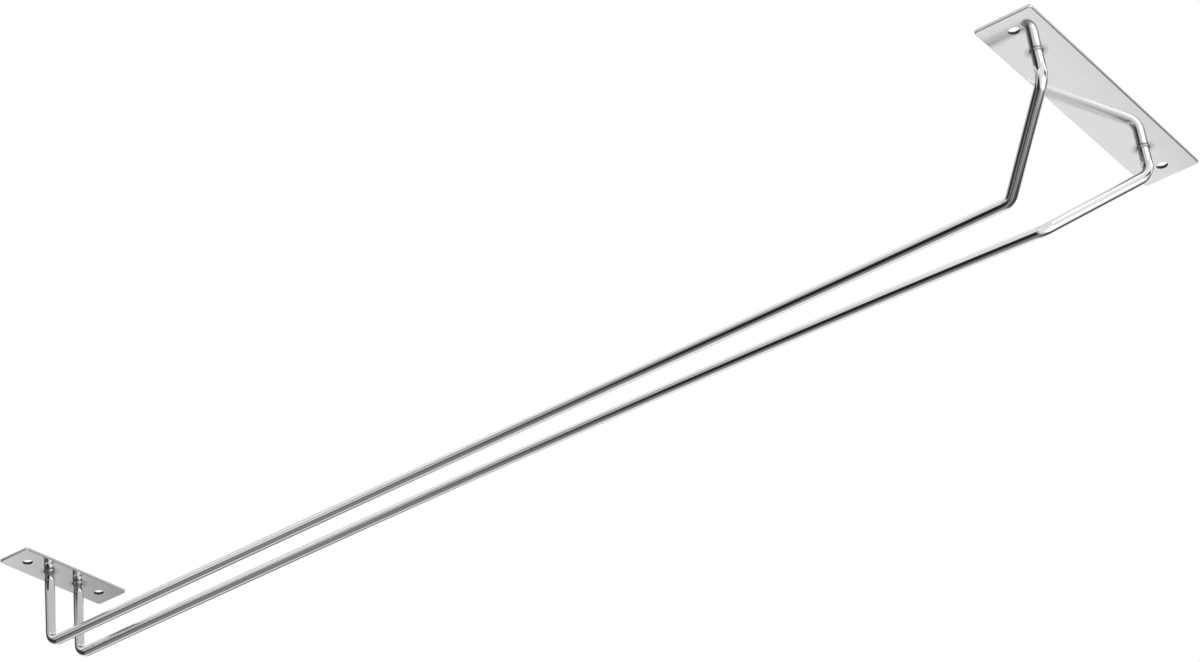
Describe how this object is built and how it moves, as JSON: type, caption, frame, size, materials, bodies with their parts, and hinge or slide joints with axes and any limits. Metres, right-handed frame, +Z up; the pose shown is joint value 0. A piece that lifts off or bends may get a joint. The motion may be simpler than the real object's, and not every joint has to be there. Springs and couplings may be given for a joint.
{
  "type": "hanging wine glass rack",
  "caption": "Under-shelf rail rack that holds stemmed glasses upside down by their feet: bent wire rails with a flared entry, welded under a long front plate and a short rear plate.",
  "frame": {"origin": "middle of the front plate's top face, the face that lies against the shelf", "axes": "+Y runs from the entry back along the rails, +Z points up into the shelf, +X is to the right of someone who stands in front of the entry"},
  "size_m": [0.1556, 0.6096, 0.0435],
  "materials": {
    "plate_chrome": "bright plating on flat strip, slightly hazy reflections",
    "wire_chrome": "bright plating on drawn round wire, clear reflections",
    "weld_metal": "bright plating over an upset weld, duller and slightly uneven"
  },
  "bodies": {
    "root": {"front_mounting_plate": "plate_chrome", "rear_mounting_plate": "plate_chrome", "left_rail_wire": "wire_chrome", "right_rail_wire": "wire_chrome", "front_left_weld": "weld_metal", "front_right_weld": "weld_metal", "rear_left_weld": "weld_metal", "rear_right_weld": "weld_metal"}
  },
  "joints": []
}
